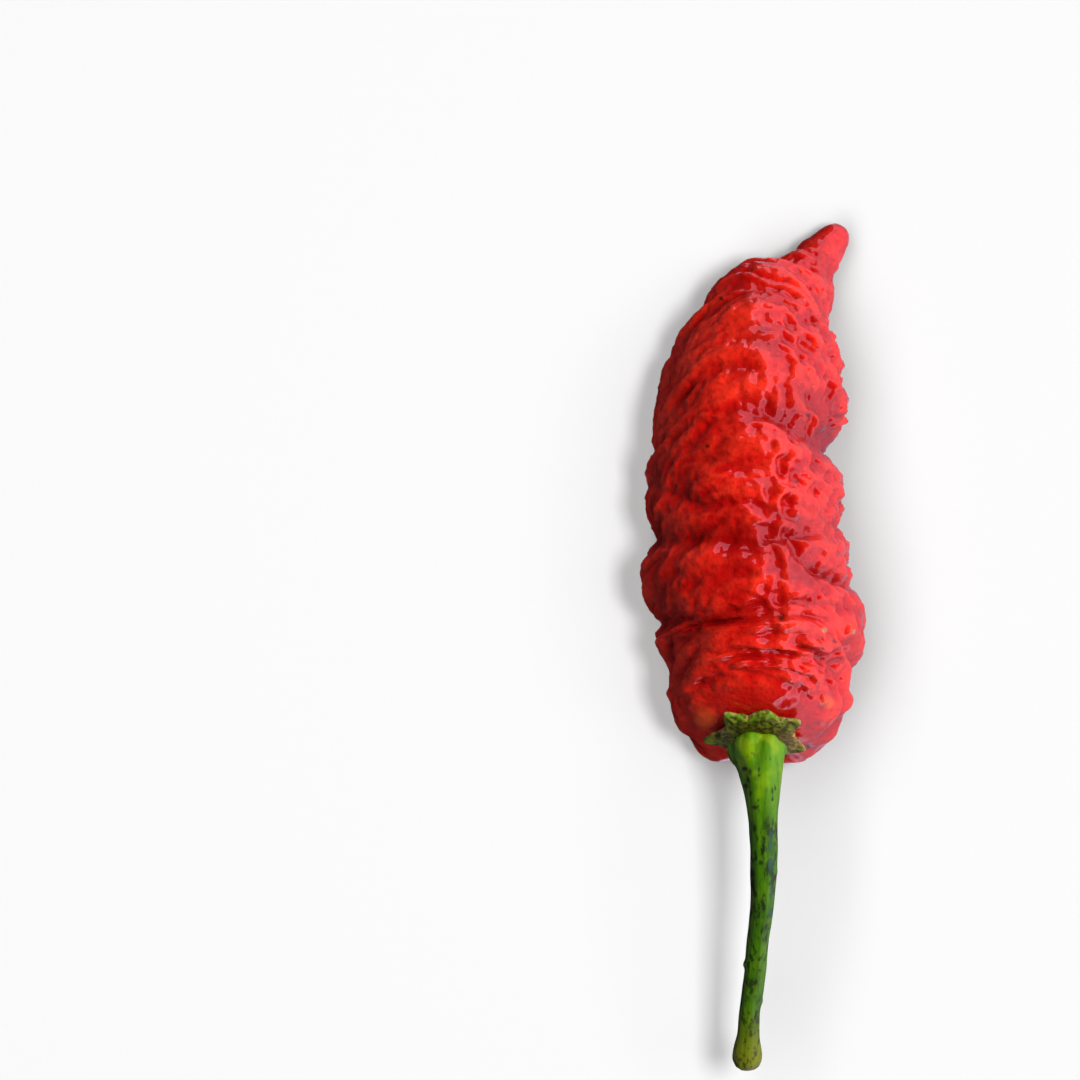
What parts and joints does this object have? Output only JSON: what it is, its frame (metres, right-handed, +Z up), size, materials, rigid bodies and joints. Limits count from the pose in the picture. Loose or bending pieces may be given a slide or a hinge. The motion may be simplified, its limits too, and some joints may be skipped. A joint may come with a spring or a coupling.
{
  "type": "chilli pepper",
  "caption": "Wrinkled red chilli pepper with a hooked tip, a lobed green calyx and a curved stem, lying on its side.",
  "frame": {"origin": "centre of the bottom of the bounding box, on the surface the chilli lies on", "axes": "+Y along the chilli from its stem to its tip, +Z up, +X to the right seen from above with the tip away"},
  "size_m": [0.0288, 0.1104, 0.0258],
  "materials": {
    "pod_skin": "glossy, wrinkled red fruit skin",
    "calyx_green": "dry olive green leaf with tan rims",
    "stem_green": "satin green stalk"
  },
  "bodies": {
    "root": {"pod": "pod_skin", "calyx": "calyx_green", "stem": "stem_green"}
  },
  "joints": []
}
